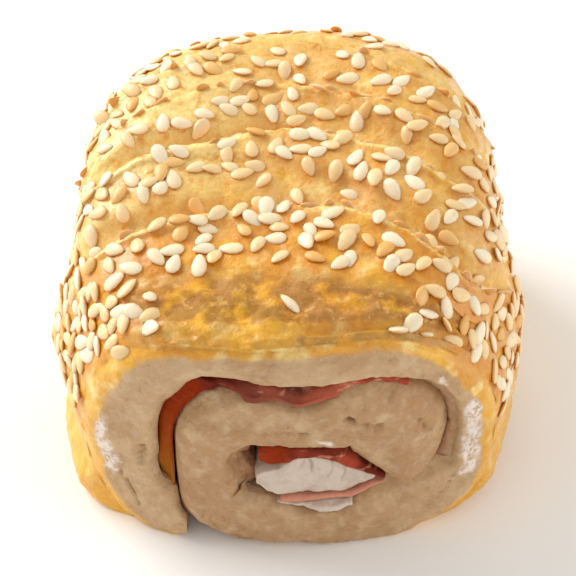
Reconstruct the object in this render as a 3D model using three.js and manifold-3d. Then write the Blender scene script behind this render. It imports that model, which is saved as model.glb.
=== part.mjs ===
// A small savoury bread roll. A sheet of dough is rolled up over ham and cream cheese, its top is
// slashed across four times, and the crust is sprinkled with sesame seeds. Both ends are cut open, so
// the turns of dough and the filling show there.
// Sizes are in millimetres: x runs across the roll, y along it from the near end, and z up.
import * as THREE from "three";
import { mergeVertices } from "three/addons/utils/BufferGeometryUtils.js";
import Module from "manifold-3d";

const wasm = await Module();
wasm.setup();

// ---- Driving sizes ----
const LENGTH = 72;
const GROWTH = { left: 0.16, right: 0.16, back: 0.04, high: 0.04 }; // the middle outgrows the ends
const BELLY = { along: 22, half: 16, by: 0.04 }; // and is widest where the first strips swelled
const FOOT = { left: 0.22, right: 0.16, height: 8, reach: 5 }; // how much its underside spreads
const BACK_DROP = { left: 1.5, right: -1 }; // how much lower the far end is, 20 mm off its middle
const END_ROUND = { wide: 22, high: 11, farWide: 9 }; // how far from an end that growth takes
const CROWN = { by: 3, full: 42, end: 12 }; // how far the roof rises behind the near end
const FACE_RADIUS = 50; // each cut end bows outwards, as an arc of this radius across it
const FACE_PUFF = 0.7; // each turn of dough swells out of the cut end by this much
const SLASHES = [22, 36, 46, 58]; // how far along each slash's raised lip stands
const SLASH_DROP = 1.5; // length of the steep step behind a lip
const LIP_RISE = [1, 1.5, 2.5, 2, 1]; // how far each strip's crest stands over the plain roof
const VALLEY = [0, -2.5, -2, 0, 0]; // and the bottom of the slash in front of it
const LIP_BEND = { slant: 0.15, bow: 0.03, near: 20, far: 14 }; // slashes curve towards the near end
const LIP_SWAY = 0.7; // how far a lip wanders along the roll
const SLASH_REACH = { from: 0.6, to: 0.97 }; // shares of the height over which a slash runs out

// The middle line of the dough on the near end, from the inner lip outwards. It starts upwards and
// each turn bends it a quarter to its left: a straight run, then a quarter of an ellipse that goes
// ahead and aside. thick holds the dough's thickness where the run starts, where it ends and halfway
// round the bend. All were measured on the cut end, to the nearest half millimetre.
const INNER_LIP = { x: 15, z: 10.5 };
const TURNS = [
  { run: 1.5, ahead: 10.5, aside: 7.5, thick: [8, 8.5, 11.5] }, // the lip, curled down on the cheese
  { run: 11.5, ahead: 6.5, aside: 8, thick: [10.5, 9, 8.5] }, // over the cheese
  { run: 5, ahead: 5, aside: 6.5, thick: [6.5, 6.5, 9] }, // down beside it
  { run: 16.5, ahead: 11, aside: 7, thick: [8.5, 11, 9.5] }, // the floor
  { run: 5, ahead: 15, aside: 15, thick: [5.5, 5, 4] }, // the right wall
  { run: 16.5, ahead: 13, aside: 16.5, thick: [5.5, 4, 8] }, // the roof
  { run: 2.5, ahead: 11, aside: 8, thick: [10, 9.5, 9.5] }, // the left wall, down to the outer end
];
const OUTER_END_THICK = 4.5;
const END_TAPER = { inner: 0.34, outer: 0.22 }; // share of a turn in which the dough's ends round off
// Halfway along a straight run, one side of the dough is pushed outwards by this much: the roof sags,
// the turn below it is pressed in, and the floor is hollowed under the cheese. Side 1 is the outer one.
const SAG = {
  roof: { turn: 5, side: -1, by: 1 },
  under: { turn: 1, side: 1, by: -2 },
  floor: { turn: 3, side: -1, by: -2.5 },
};

// The slice between the turns runs from place to place round the dough. clear is the gap left to what
// it lies against. Its ripples run round the roll and along it, and swing over a share of the room.
const BETWEEN_HAM = { from: 5.12, to: 6.5, thick: 0.55, clear: 0.45, round: 8, along: 14, swing: 0.3 };
// Slabs of filling between left and right.
const UPPER_HAM = { left: -3.3, right: 10.35, high: 16.9, drop: 4.3, flat: 7, thick: 1 };
const LOWER_HAM = { left: -0.3, right: 10.6, low: 8.4, thick: 0.65, rise: 1.9 };
const CHEESE = { left: -3.9, right: 10.7, low: 9.4, top: 15.4, tip: 11.4 };
const SMEAR = { left: 1.8, right: 5.5, low: 7.65, high: 8.05 };
const RECESS = { ham: 0.4, cheese: 0.6 }; // how far the filling stays back from the cut ends
const UNEVEN_END = { dome: 0.35, ripple: 0.3, ripples: 11 }; // and how its ends bow out and wander

const SEED = { length: 3.2, width: 1.9, thick: 1.5, sunk: 0.6, spacing: 5.6, tries: 2600 };
// The crust that seeds stick to: from place to place round it, and this far from the cut ends.
const SEEDED = { from: 4, to: 6.45, rim: 2.5 };
// In the middle of the roof the low part of each strip is bare, up to a share of its climb. It is less
// on the strips that a slash opened than on the first one.
const BARE_ROOF = { middle: 5.2, half: 0.3, fade: 0.35 };
const BARE_CLIMB = { first: { from: 0.3, to: 0.55 }, next: { from: 0.12, to: 0.42 } };

const COLOURS = { dough: 0xe3c48b, ham: 0xc9796b, cheese: 0xf6efe0 };

// ---- Helpers ----
const clamp01 = (t) => Math.min(1, Math.max(0, t));
const mix = (a, b, t) => a + (b - a) * t;
const smooth = (t) => clamp01(t) ** 2 * (3 - 2 * clamp01(t));
const arch = (t) => Math.sqrt(Math.max(0, 1 - (1 - clamp01(t)) ** 2));
const swell = (t) => Math.sin(clamp01(t) * (Math.PI / 2));

// Repeatable draws from 0 to 1.
function dice(start) {
  let state = start;
  return () => {
    state = (state * 16807) % 2147483647;
    return state / 2147483647;
  };
}

// ---- The rolled-up section ----
// Where each turn starts, and its two directions.
function layOutTurns() {
  let [x, z, ex, ez] = [INNER_LIP.x, INNER_LIP.z, 0, 1];
  return TURNS.map((turn) => {
    const laid = { ...turn, x, z, ex, ez };
    [x, z] = [x + ex * (turn.run + turn.ahead), z + ez * (turn.run + turn.ahead)];
    [ex, ez] = [-ez, ex];
    [x, z] = [x + ex * turn.aside, z + ez * turn.aside];
    return laid;
  });
}
const LAID = layOutTurns();
const TURN_COUNT = LAID.length;

// Share of a turn that its straight run takes.
const runShare = (turn) => turn.run / (turn.run + 0.8 * (turn.ahead + turn.aside));

// The dough's thickness at place p, which counts turns from the inner lip.
function thickness(p) {
  const i = Math.min(TURN_COUNT - 1, Math.floor(p));
  const turn = LAID[i];
  const t = p - i;
  const r = runShare(turn);
  const half = (1 + r) / 2;
  const next = i + 1 < TURN_COUNT ? LAID[i + 1].thick[0] : OUTER_END_THICK;
  let thick;
  if (t < r) thick = mix(turn.thick[0], turn.thick[1], smooth(t / r));
  else if (t < half) thick = mix(turn.thick[1], turn.thick[2], smooth((t - r) / (half - r)));
  else thick = mix(turn.thick[2], next, smooth((t - half) / (1 - half)));
  const round = Math.min(arch(p / END_TAPER.inner), arch((TURN_COUNT - p) / END_TAPER.outer));
  return thick * Math.max(0.12, round);
}

// The middle line at place p, with the unit normal that points out of the roll.
function middle(p) {
  const i = Math.min(TURN_COUNT - 1, Math.floor(p));
  const turn = LAID[i];
  const t = p - i;
  const r = runShare(turn);
  const gone = t < r ? turn.run * (t / r) : turn.run;
  const bend = t < r ? 0 : ((t - r) / (1 - r)) * (Math.PI / 2);
  const [ex, ez] = [turn.ex, turn.ez];
  const [fx, fz] = [-ez, ex];
  const ahead = gone + turn.ahead * Math.sin(bend);
  const aside = turn.aside * (1 - Math.cos(bend));
  const tx = ex * turn.ahead * Math.cos(bend) + fx * turn.aside * Math.sin(bend);
  const tz = ez * turn.ahead * Math.cos(bend) + fz * turn.aside * Math.sin(bend);
  const size = Math.hypot(tx, tz);
  const x = turn.x + ex * ahead + fx * aside;
  const z = turn.z + ez * ahead + fz * aside;
  return { x, z, nx: tz / size, nz: -tx / size };
}
const ROOF_TOP = LAID[5].z + LAID[5].thick[0] / 2;

// How far the dough's surface on one side is pushed along the normal by the sag.
function sag(p, across) {
  return Object.values(SAG).reduce((sum, { turn, side, by }) => {
    const t = (p - turn) / runShare(LAID[turn]);
    const here = t > 0 && t < 1 ? Math.sin(Math.PI * t) ** 2 : 0;
    return sum + here * by * side * Math.max(0, across * side);
  }, 0);
}

// A point at place p and across, from -1 on the filling's side to 1 on the crust's, plus extra
// millimetres outwards.
function sectionPoint(p, across, extra = 0) {
  const m = middle(p);
  const out = (across * thickness(p)) / 2 + sag(p, across) + extra;
  return { x: m.x + m.nx * out, z: m.z + m.nz * out, nx: m.nx, nz: m.nz };
}

// ---- Along the roll ----
function growth(x, y) {
  const near = Math.min(swell(y / END_ROUND.wide), swell((LENGTH - y) / END_ROUND.farWide));
  const high = Math.min(arch(y / END_ROUND.high), arch((LENGTH - y) / END_ROUND.high));
  const back = smooth((y / LENGTH - 0.5) * 6);
  const side = mix(GROWTH.left, GROWTH.right, smooth(x / 20 + 0.5));
  const belly = BELLY.by * smooth(1 - Math.abs(y - BELLY.along) / BELLY.half);
  return { x: 1 + (side + GROWTH.back * back) * near + belly, z: 1 + GROWTH.high * high };
}

// Puts a point of the section at distance y along the roll.
function place(x, z, y) {
  const grow = growth(x, y);
  const foot = smooth(1 - z / FOOT.height) * swell(Math.min(y, LENGTH - y) / FOOT.reach);
  const wide = grow.x + foot * mix(FOOT.left, FOOT.right, smooth(x / 20 + 0.5));
  const drop = (x < 0 ? BACK_DROP.left : BACK_DROP.right) * (x / 20) ** 2 * (z / ROOF_TOP) ** 2;
  const bow = (x * x) / (2 * FACE_RADIUS);
  const along = y + bow * (1 - (2 * y) / LENGTH);
  return new THREE.Vector3(x * wide, along, Math.max(0, z * grow.z - drop * smooth(y / LENGTH)));
}

// Which strip of crust y is on, and the share of its climb from its valley to its lip. Below 0 it is
// on the drop behind the lip before.
function stripAt(y) {
  const strip = SLASHES.filter((lip) => y > lip).length;
  const start = strip ? SLASHES[strip - 1] + SLASH_DROP : 0;
  const end = strip < SLASHES.length ? SLASHES[strip] : LENGTH;
  return { strip, start, climb: (y - start) / (end - start) };
}

// How far the crust at y stands over the plain roll: each strip climbs to its lip, then drops.
function crest(y) {
  const { strip, start, climb } = stripAt(y);
  if (climb < 0) return mix(VALLEY[strip], LIP_RISE[strip - 1], smooth((start - y) / SLASH_DROP));
  const rise = mix(VALLEY[strip], LIP_RISE[strip], swell(climb));
  return rise * swell((LENGTH - y) / END_ROUND.high);
}
const crown = (y) => CROWN.by * smooth(y / CROWN.full) * swell((LENGTH - y) / CROWN.end);

// How far a slash is moved along the roll at x.
function sway(x, y) {
  const held = smooth(y / LIP_BEND.near) * smooth((LENGTH - y) / LIP_BEND.far);
  return (LIP_SWAY * Math.sin(0.21 * x + 0.9 * y) - LIP_BEND.slant * x - LIP_BEND.bow * x * x) * held;
}

// A point of the dough: place p round the roll, across the dough, y along the roll.
function dough(p, across, y) {
  const plain = sectionPoint(p, across);
  const outside = p > OUTSIDE ? smooth(across) : 0;
  const high = smooth((plain.z / ROOF_TOP - SLASH_REACH.from) / (SLASH_REACH.to - SLASH_REACH.from));
  const lift = outside * high * (crest(y) + crown(y));
  const along = y + high * outside * sway(plain.x, y);
  const point = place(plain.x + plain.nx * lift, plain.z + plain.nz * lift, along);
  const nearFace = Math.max(0, 1 - y / 2) - Math.max(0, 1 - (LENGTH - y) / 2);
  point.y -= FACE_PUFF * (1 - across * across) * nearFace;
  return point;
}

// ---- Meshes ----
// Moves every vertex of a closed geometry, and merges the doubles that its seams leave.
function reshape(geometry, move) {
  const position = geometry.getAttribute("position");
  for (let i = 0; i < position.count; i++) {
    const p = move(position.getX(i) + 0.5, position.getY(i) + 0.5, position.getZ(i) + 0.5);
    position.setXYZ(i, p.x, p.y, p.z);
  }
  geometry.deleteAttribute("normal");
  geometry.deleteAttribute("uv");
  return mergeVertices(geometry, 1e-4);
}

// A sheet, cut in steps along its length and width, then rolled up by move(a, b, c).
function sheet(aSteps, bSteps, cSteps, move) {
  const box = new THREE.BoxGeometry(1, 1, 1, aSteps.length - 1, bSteps.length - 1, cSteps.length - 1);
  const step = (steps, t) => steps[Math.round(t * (steps.length - 1))];
  return reshape(box, (a, b, c) => move(step(aSteps, 1 - a), step(bSteps, b), step(cSteps, c)));
}

const evenly = (from, to, count) => Array.from({ length: count + 1 }, (_, i) => mix(from, to, i / count));

// Steps round the roll: finer at the two rounded ends of the dough. Past the floor, at OUTSIDE, the
// dough is the roll's outside.
const OUTSIDE = 3.6;
function roundSteps() {
  const inner = [0, 0.03, 0.09, 0.18];
  const outer = [0.2, 0.1, 0.03, 0].map((left) => TURN_COUNT - left);
  const inside = evenly(0.3, OUTSIDE, 24);
  return [...inner, ...inside, ...evenly(OUTSIDE, TURN_COUNT - 0.33, 24).slice(1), ...outer];
}

// Steps along the roll: closer at both ends, with a row on each lip and one at the foot of its drop.
function lengthSteps() {
  const ends = [0, 0.7, 2];
  const [first, last, step] = [4.5, LENGTH - 4.5, 5];
  const rows = [...ends, first];
  let from = first;
  for (const lip of [...SLASHES, last]) {
    rows.push(...evenly(from, lip, Math.round((lip - from) / step)).slice(1));
    from = lip + SLASH_DROP;
    if (lip < last) rows.push(from);
  }
  return [...rows, ...ends.reverse().map((left) => LENGTH - left)];
}

const ACROSS_STEPS = [-1, -0.45, 0.45, 1];
const doughGeometry = () =>
  sheet(roundSteps(), lengthSteps(), ACROSS_STEPS, (p, y, across) => dough(p, across, y));

// ---- Sesame seeds ----
// How likely a seed is to stick at place p and y: few in the slashes, few low down on the near end.
function seedChance(p, y) {
  const { strip, climb } = stripAt(y);
  const { from, to } = strip ? BARE_CLIMB.next : BARE_CLIMB.first;
  const { middle, half, fade } = BARE_ROOF;
  const middleOfRoof = 1 - smooth((Math.abs(p - middle) - half) / fade);
  const bareValley = 1 - smooth((climb - from) / (to - from));
  return 1 - middleOfRoof * bareValley;
}

// Seeds by dart throwing, each at least spacing from the others.
function seedPlaces() {
  const roll = dice(2029);
  const found = [];
  for (let n = 0; n < SEED.tries; n++) {
    const p = mix(SEEDED.from, SEEDED.to, roll());
    const y = mix(SEEDED.rim, LENGTH - SEEDED.rim, roll());
    const turn = roll() * Math.PI;
    const luck = roll();
    const at = dough(p, 1, y);
    if (luck > seedChance(p, y)) continue;
    if (found.some((other) => other.at.distanceTo(at) < SEED.spacing)) continue;
    found.push({ p, y, turn, at });
  }
  return found;
}

const CORE = new THREE.Vector3(0, 0, 15); // a point inside the roll, under all its crust
function seedGeometry({ p, y, turn, at }) {
  const round = dough(p + 0.02, 1, y).sub(at).normalize();
  const along = dough(p, 1, y + 0.3).sub(at).normalize();
  const out = new THREE.Vector3().crossVectors(round, along).normalize();
  if (out.dot(at.clone().setY(0).sub(CORE)) < 0) out.negate();
  const side = new THREE.Vector3().crossVectors(out, round).normalize();
  const centre = at.addScaledVector(out, SEED.thick / 2 - SEED.sunk);
  const frame = new THREE.Matrix4().makeBasis(round, side, out).setPosition(centre);
  const seed = new THREE.IcosahedronGeometry(0.5);
  seed.scale(SEED.length, SEED.width, SEED.thick).rotateZ(turn).applyMatrix4(frame);
  seed.deleteAttribute("normal");
  seed.deleteAttribute("uv");
  return mergeVertices(seed, 1e-4);
}

// ---- Solids ----
const solid = (geometry) =>
  new wasm.Manifold(
    new wasm.Mesh({
      numProp: 3,
      vertProperties: geometry.getAttribute("position").array,
      triVerts: new Uint32Array(geometry.index.array),
    }),
  );

function geometryOf(manifold) {
  const mesh = manifold.getMesh();
  return new THREE.BufferGeometry()
    .setAttribute("position", new THREE.BufferAttribute(mesh.vertProperties, 3))
    .setIndex(new THREE.BufferAttribute(mesh.triVerts, 1));
}

// The dough with its seeds fused on. A seed that misses the crust is dropped.
function seededDough() {
  let whole = solid(doughGeometry());
  for (const seed of seedPlaces()) whole = whole.add(solid(seedGeometry(seed)));
  const [largest] = whole.decompose().sort((a, b) => b.volume() - a.volume());
  return geometryOf(largest);
}

// ---- The filling ----
// How far the dough's inner side at place p is from the turn that it is wrapped round.
const WRAPPED = evenly(0.3, 3.1, 300).map((p) => sectionPoint(p, 1));
function roomBelow(p) {
  const { x, z } = sectionPoint(p, -1);
  return Math.min(...WRAPPED.map((q) => Math.hypot(x - q.x, z - q.z)));
}

// The slice of ham between two turns of the dough. It ripples from one to the other.
function hamBetween() {
  const { from, to, thick, clear, round, along, swing } = BETWEEN_HAM;
  const rows = [0, 0.02, 0.1, ...evenly(0.24, 0.76, 3), 0.9, 0.98, 1];
  return sheet(evenly(from, to, 20), rows, [0, 1], (p, b, c) => {
    const edge = 0.5 + 0.5 * arch(Math.min(p - from, to - p) / 0.12);
    const room = Math.max(0, roomBelow(p) - thick - 2 * clear);
    const wave = 0.5 - swing * Math.sin(round * p + along * b);
    const inwards = clear + thick / 2 + room * wave + (0.5 - c) * thick * edge;
    const { x, z } = sectionPoint(p, -1, -inwards);
    return place(x, z, mix(RECESS.ham, LENGTH - RECESS.ham, b));
  });
}

// A slab of filling between the heights low(t) and high(t), where t goes from 0 at its left to 1 at
// its right. Its ends bow out a little.
function slab({ left, right }, low, high, recess, across = 12) {
  return sheet(evenly(1, 0, across), evenly(0, 1, 7), [0, 0.5, 1], (t, b, c) => {
    const dome = c === 0.5 && t > 0 && t < 1 ? UNEVEN_END.dome : 0;
    const stay = recess - dome + UNEVEN_END.ripple * Math.sin(UNEVEN_END.ripples * t);
    return place(mix(left, right, t), mix(low(t), high(t), c), mix(stay, LENGTH - stay, b));
  });
}

// 1 along a slab, falling in a quarter circle over share of it at both ends.
const rounded = (t, share) => arch(Math.min(t, 1 - t) / share);

// The slice that follows the underside of the dough over the cheese, down to the lip.
function upperHam() {
  const { left, right, high, drop, flat, thick } = UPPER_HAM;
  const sloping = (t) => clamp01((mix(left, right, t) - left - flat) / (right - left - flat));
  const top = (t) => high - drop * sloping(t) ** 1.45;
  const deep = (t) => thick * (1 + 0.45 * smooth(2 * sloping(t))) * (0.4 + 0.6 * rounded(t, 0.1));
  return slab(UPPER_HAM, (t) => top(t) - deep(t), top, RECESS.ham, 14);
}

function lowerHam() {
  const { low, thick, rise } = LOWER_HAM;
  const under = (t) => low + rise * t ** 3;
  const thin = (t) => 0.3 * thick * (1 - rounded(t, 0.1));
  return slab(LOWER_HAM, (t) => under(t) + thin(t), (t) => under(t) + thick - thin(t), RECESS.ham);
}

function cheese() {
  const { low, top, tip } = CHEESE;
  const middleAt = (t) => mix((low + top) / 2, tip, smooth(t));
  const under = (t) => low + 1.9 * smooth(2 * t - 1);
  const over = (t) => mix(top, tip + 0.05, smooth((t - 0.5) / 0.5));
  const lower = (t) => mix(middleAt(t), under(t), 0.15 + 0.85 * rounded(t, 0.2));
  const upper = (t) => mix(middleAt(t), over(t), 0.3 + 0.7 * rounded(t, 0.3));
  return slab(CHEESE, lower, upper, RECESS.cheese);
}

// The cheese that was squeezed out under the ham, in a lens that fills the hollow of the floor.
function smear() {
  const { low, high } = SMEAR;
  const under = (t) => mix(low, high - 0.1, (2 * t - 1) ** 2);
  return slab(SMEAR, under, () => high, RECESS.ham, 8);
}

// ---- The roll ----
const PIECES = {
  dough: { make: seededDough, colour: COLOURS.dough, roughness: 0.7 },
  ham_between_turns: { make: hamBetween, colour: COLOURS.ham, roughness: 0.35 },
  ham_over_cheese: { make: upperHam, colour: COLOURS.ham, roughness: 0.35 },
  ham_under_cheese: { make: lowerHam, colour: COLOURS.ham, roughness: 0.35 },
  cream_cheese: { make: cheese, colour: COLOURS.cheese, roughness: 0.5 },
  cream_cheese_smear: { make: smear, colour: COLOURS.cheese, roughness: 0.5 },
};

const group = new THREE.Group();
for (const [name, { make, colour, roughness }] of Object.entries(PIECES)) {
  const material = new THREE.MeshStandardMaterial({ color: colour, roughness, metalness: 0 });
  const mesh = new THREE.Mesh(make(), material);
  mesh.name = name;
  group.add(mesh);
}

// The origin is at the middle of the underside.
const box = new THREE.Box3().setFromObject(group);
const centre = box.getCenter(new THREE.Vector3());
group.position.set(-centre.x, -centre.y, -box.min.z);

export default group;
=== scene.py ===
"""A small ham and cheese roll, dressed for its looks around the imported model.

The dough is one sheet that is rolled up over ham and cream cheese. Each of its pieces starts as a
primitive that is cut up in edit mode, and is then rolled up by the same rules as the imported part.
Shapes are worked out in millimetres in the roll's own directions: x across it, y along it from the
near cut end, and z up. Blender's objects are in metres.
"""

import math
import random

import bpy
import numpy as np
from mathutils import Euler, Matrix, Vector, noise
from mathutils.bvhtree import BVHTree
from mathutils.kdtree import KDTree


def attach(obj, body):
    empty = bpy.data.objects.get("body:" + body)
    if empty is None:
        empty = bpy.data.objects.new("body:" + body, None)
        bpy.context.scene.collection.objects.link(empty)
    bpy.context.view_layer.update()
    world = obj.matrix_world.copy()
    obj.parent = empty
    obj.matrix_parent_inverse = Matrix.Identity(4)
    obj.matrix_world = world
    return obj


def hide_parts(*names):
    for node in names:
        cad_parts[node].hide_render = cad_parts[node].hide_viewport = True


bl_info = {
    "name": "Ham and Cheese Roll",
    "version": (1, 0, 0),
    "blender": (4, 5, 0),
    "location": "3D View > Sidebar > Roll",
    "description": "Builds a rolled-up bread roll with ham, cream cheese and sesame seeds",
    "category": "Add Mesh",
}

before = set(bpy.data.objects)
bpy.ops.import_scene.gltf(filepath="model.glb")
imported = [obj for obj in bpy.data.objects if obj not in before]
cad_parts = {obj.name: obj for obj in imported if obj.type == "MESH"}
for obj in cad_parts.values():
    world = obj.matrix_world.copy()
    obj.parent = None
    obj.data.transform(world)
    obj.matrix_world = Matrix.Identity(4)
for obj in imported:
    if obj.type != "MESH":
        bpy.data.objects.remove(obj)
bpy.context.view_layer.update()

MM = 0.001

# ---- The rolled-up section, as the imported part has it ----
LENGTH = 72.0
HALF_WIDE = 20.0  # about half the section's width
GROWTH = {"left": 0.16, "right": 0.16, "back": 0.04, "high": 0.04}  # the middle outgrows the ends
BELLY = {"along": 22.0, "half": 16.0, "by": 0.04}  # and is widest where the first strips swelled
FOOT = {"left": 0.22, "right": 0.16, "height": 8.0, "reach": 5.0}  # how much its underside spreads
BACK_DROP = {"left": 1.5, "right": -1.0}  # how much lower the far end is, HALF_WIDE off its middle
END_ROUND = {"wide": 22.0, "high": 11.0, "far_wide": 9.0}  # how far from an end that growth takes
CROWN = {"by": 3.0, "full": 42.0, "end": 12.0}  # how far the roof rises behind the near end
FACE_RADIUS = 50.0  # each cut end bows outwards, as an arc of this radius across it
FACE_PUFF = 0.7  # each turn of dough swells out of the cut end by this much
PUFF_DEPTH = 2.0  # and that has faded this far behind the cut
SLASHES = (22.0, 36.0, 46.0, 58.0)  # how far along each slash's raised lip stands
SLASH_DROP = 1.5  # length of the steep step behind a lip
LIP_RISE = (1.0, 1.5, 2.5, 2.0, 1.0)  # how far each strip's crest stands over the plain roof
VALLEY = (0.0, -2.5, -2.0, 0.0, 0.0)  # and the bottom of the slash in front of it
SLASH_REACH = (0.6, 0.97)  # shares of the height over which a slash runs out
LIP_SHARPNESS = 1.7  # 1 is an even slope behind a lip, and more is steeper at the lip
LIP_BEND = {"slant": 0.15, "bow": 0.03, "near": 20.0, "far": 14.0}  # and slashes curve
INNER_LIP = (15.0, 10.5)
# run, ahead, aside, and the dough's thickness at the run's start, at its end and halfway round the
# bend, all measured on the cut end to the nearest half millimetre
TURNS = (
    (1.5, 10.5, 7.5, 8.0, 8.5, 11.5),
    (11.5, 6.5, 8.0, 10.5, 9.0, 8.5),
    (5.0, 5.0, 6.5, 6.5, 6.5, 9.0),
    (16.5, 11.0, 7.0, 8.5, 11.0, 9.5),
    (5.0, 15.0, 15.0, 5.5, 5.0, 4.0),
    (16.5, 13.0, 16.5, 5.5, 4.0, 8.0),
    (2.5, 11.0, 8.0, 10.0, 9.5, 9.5),
)
OUTER_END_THICK = 4.5
END_TAPER = (0.34, 0.22)
# turn, side of the dough, and how far that side is pushed out
SAG = ((5, -1, 1.0), (1, 1, -2.0), (3, -1, -2.5))
ROLL_ZERO = Vector((-0.00023, -0.036, 0.0))  # the roll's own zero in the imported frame


def clamp01(t):
    """t held between 0 and 1."""
    return np.clip(t, 0.0, 1.0)


def mix(a, b, t):
    """From a at t = 0 to b at t = 1."""
    return a + (b - a) * t


def smooth(t):
    """An even rise from 0 to 1, flat at both ends."""
    t = clamp01(t)
    return t * t * (3.0 - 2.0 * t)


def arch(t):
    """A quarter circle's rise from 0 to 1."""
    return np.sqrt(np.maximum(0.0, 1.0 - (1.0 - clamp01(t)) ** 2))


def swell(t):
    """A quarter sine's rise from 0 to 1."""
    return np.sin(clamp01(t) * math.pi / 2)


def hump(t, centre, half_width):
    """1 at centre, falling evenly to 0 at half_width from it."""
    return smooth(1.0 - np.abs(t - centre) / half_width)


def between(t, low, high, ease, ease_out=None):
    """1 between low and high, with an even rise over ease inside low, and ease_out inside high."""
    return smooth((t - low) / ease) * smooth((high - t) / (ease_out or ease))


def points_at(x, y, z):
    """Points from their coordinates, each an array or one number for them all."""
    return np.stack(np.broadcast_arrays(x, y, z), axis=-1)


def lay_out_turns():
    """Each turn's start, direction and sizes, with a row for each quantity and a column a turn."""
    (x, z), (ex, ez) = INNER_LIP, (0.0, 1.0)
    rows = []
    for index, (run, ahead, aside, *thick) in enumerate(TURNS):
        following = TURNS[index + 1][3] if index + 1 < len(TURNS) else OUTER_END_THICK
        share = run / (run + 0.8 * (ahead + aside))
        rows.append((x, z, ex, ez, run, ahead, aside, *thick, following, share))
        x, z = x + ex * (run + ahead), z + ez * (run + ahead)
        ex, ez = -ez, ex
        x, z = x + ex * aside, z + ez * aside
    return np.array(rows).T


LAID = lay_out_turns()
STRAIGHT_SHARE = LAID[11]  # how much of each turn its straight run takes up
TURN_COUNT = len(TURNS)
ROOF_TURN = 5
ROOF_TOP = LAID[1][ROOF_TURN] + LAID[7][ROOF_TURN] / 2


def turn_of(p):
    """The turn that place p is in, and how far round it p is."""
    index = np.minimum(TURN_COUNT - 1, np.floor(p)).astype(int)
    return index, p - index


def thickness(p):
    """The dough's thickness at place p, which counts turns from the inner lip."""
    index, t = turn_of(p)
    start, end, bend, following, share = LAID[7:12, index]
    half = (1.0 + share) / 2
    run_part = mix(start, end, smooth(t / np.maximum(share, 1e-6)))
    first_half = mix(end, bend, smooth((t - share) / (half - share)))
    second_half = mix(bend, following, smooth((t - half) / (1.0 - half)))
    thick = np.where(t < share, run_part, np.where(t < half, first_half, second_half))
    tips = np.minimum(arch(p / END_TAPER[0]), arch((TURN_COUNT - p) / END_TAPER[1]))
    return thick * np.maximum(0.12, tips)


def middle(p):
    """The middle line at place p, and the unit normal that points out of the roll."""
    index, t = turn_of(p)
    x, z, ex, ez, run, ahead, aside = LAID[0:7, index]
    share = STRAIGHT_SHARE[index]
    in_run = t < share
    gone = np.where(in_run, run * t / np.maximum(share, 1e-6), run)
    bend = np.where(in_run, 0.0, (t - share) / (1.0 - share)) * math.pi / 2
    forward, sideways = gone + ahead * np.sin(bend), aside * (1.0 - np.cos(bend))
    tx = ex * ahead * np.cos(bend) - ez * aside * np.sin(bend)
    tz = ez * ahead * np.cos(bend) + ex * aside * np.sin(bend)
    size = np.hypot(tx, tz)
    return x + ex * forward - ez * sideways, z + ez * forward + ex * sideways, tz / size, -tx / size


def sag(p, across):
    """How far the roof sags, and how far the turn below it is pressed in, along the normal."""
    total = np.zeros_like(p)
    for turn, side, by in SAG:
        t = (p - turn) / STRAIGHT_SHARE[turn]
        here = np.where((t > 0) & (t < 1), np.sin(math.pi * t) ** 2, 0.0)
        total += here * by * side * np.maximum(0.0, across * side)
    return total


def section_point(p, across, extra=0.0):
    """x, z and the outward normal at place p. across runs from -1 on the filling's side to 1."""
    x, z, nx, nz = middle(p)
    out = across * thickness(p) / 2 + sag(p, across) + extra
    return x + nx * out, z + nz * out, nx, nz


def place(x, z, y):
    """Puts points of the section at distance y along the roll."""
    near = np.minimum(swell(y / END_ROUND["wide"]), swell((LENGTH - y) / END_ROUND["far_wide"]))
    high = np.minimum(arch(y / END_ROUND["high"]), arch((LENGTH - y) / END_ROUND["high"]))
    to_right = smooth(x / HALF_WIDE + 0.5)
    back = smooth((y / LENGTH - 0.5) * 6)
    side = mix(GROWTH["left"], GROWTH["right"], to_right) + GROWTH["back"] * back
    reach = swell(np.minimum(y, LENGTH - y) / FOOT["reach"])
    foot = smooth(1.0 - z / FOOT["height"]) * reach * mix(FOOT["left"], FOOT["right"], to_right)
    wide = 1.0 + side * near + foot + BELLY["by"] * hump(y, BELLY["along"], BELLY["half"])
    drop = np.where(x < 0, BACK_DROP["left"], BACK_DROP["right"]) * smooth(y / LENGTH)
    along = y + x * x / (2 * FACE_RADIUS) * (1.0 - 2.0 * y / LENGTH)
    up = z * (1.0 + GROWTH["high"] * high) - drop * (x / HALF_WIDE) ** 2 * (z / ROOF_TOP) ** 2
    return points_at(x * wide, along, np.maximum(0.0, up))


def strip_of(y):
    """Where the strip that y is on starts and ends, and its number."""
    index = np.searchsorted(np.array(SLASHES), y, side="left")
    starts = np.array([0.0, *[lip + SLASH_DROP for lip in SLASHES]])
    ends = np.array([*SLASHES, LENGTH])
    return starts[index], ends[index], index


def crest(y):
    """How far the crust at y stands over the plain roll: a strip climbs to its lip, then drops."""
    start, end, index = strip_of(y)
    valley, lip = np.array(VALLEY)[index], np.array(LIP_RISE)[index]
    before = np.array(LIP_RISE)[np.maximum(index - 1, 0)]
    drop = mix(valley, before, clamp01((start - y) / SLASH_DROP) ** LIP_SHARPNESS)
    climb = mix(valley, lip, swell((y - start) / (end - start)))
    climb = climb * swell((LENGTH - y) / END_ROUND["high"])
    crown = CROWN["by"] * smooth(y / CROWN["full"]) * swell((LENGTH - y) / CROWN["end"])
    return np.where(y < start, drop, climb) + crown


# ---- Relief that only the looks need ----
def noise_at(points, scale, octaves=3, seed=0.0):
    """Fractal noise of about -1 to 1 at points in millimetres, with lumps about scale wide."""
    shift = Vector((seed * 17.3, seed * 9.1, seed * 5.7))
    return np.array(
        [noise.fractal(Vector(q) / scale + shift, 0.9, 2.1, octaves) for q in points.tolist()]
    )


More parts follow.
